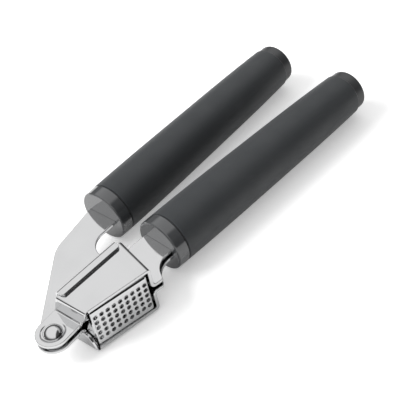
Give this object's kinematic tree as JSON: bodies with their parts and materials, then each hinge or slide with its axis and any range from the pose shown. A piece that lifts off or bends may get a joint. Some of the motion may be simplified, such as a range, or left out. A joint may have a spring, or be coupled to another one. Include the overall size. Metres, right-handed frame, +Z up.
{
  "type": "garlic press",
  "caption": "Hinged stainless garlic press with a perforated hopper, a swinging press foot and two round soft-grip handles, lying on its side.",
  "frame": {"origin": "centre of the bounding box in plan, on the surface that the press lies on", "axes": "+X along the basket handle from the pivot to its end cap, +Y from the basket handle towards the plunger handle, +Z up, along the pivot"},
  "size_m": [0.198, 0.0714, 0.0265],
  "materials": {
    "polished_steel": "mirror polished stainless",
    "plain_steel": "satin stainless",
    "collar_gloss": "glossy charcoal moulding",
    "end_satin": "satin charcoal moulding",
    "soft_grip": "soft-touch charcoal",
    "handle_core": "black moulding"
  },
  "bodies": {
    "basket_arm": {"upper_shell": "polished_steel", "lower_shell": "polished_steel", "hopper_insert": "polished_steel", "pivot_rivet": "polished_steel", "pivot_rivet_cap": "polished_steel", "basket_tang_spacer": "plain_steel", "basket_tang_pins": "plain_steel", "basket_front_cap": "collar_gloss", "basket_handle_core": "handle_core", "basket_grip": "soft_grip", "basket_end_cap": "end_satin"},
    "plunger_arm": {"plunger_arm_plate": "polished_steel", "plunger_pin": "plain_steel", "plunger_tang_pins": "plain_steel", "plunger_front_cap": "collar_gloss", "plunger_handle_core": "handle_core", "plunger_grip": "soft_grip", "plunger_end_cap": "end_satin"},
    "plunger": {"plunger_foot": "plain_steel", "plunger_bushes": "plain_steel"}
  },
  "joints": [
    {"name": "main_pivot", "type": "hinge", "parent": "basket_arm", "child": "plunger_arm", "pos_m": [-0.0915, -0.01984, 0.01325], "axis": [0, 0, 1], "range_deg": [-6, 115]},
    {"name": "foot_swing", "type": "hinge", "parent": "plunger_arm", "child": "plunger", "pos_m": [-0.067, -0.0233, 0.01325], "axis": [0, 0, 1], "range_deg": [-17.5, 1]}
  ],
  "couplings": [
    {"joint": "foot_swing", "follows": "main_pivot", "ratio": -0.15}
  ]
}
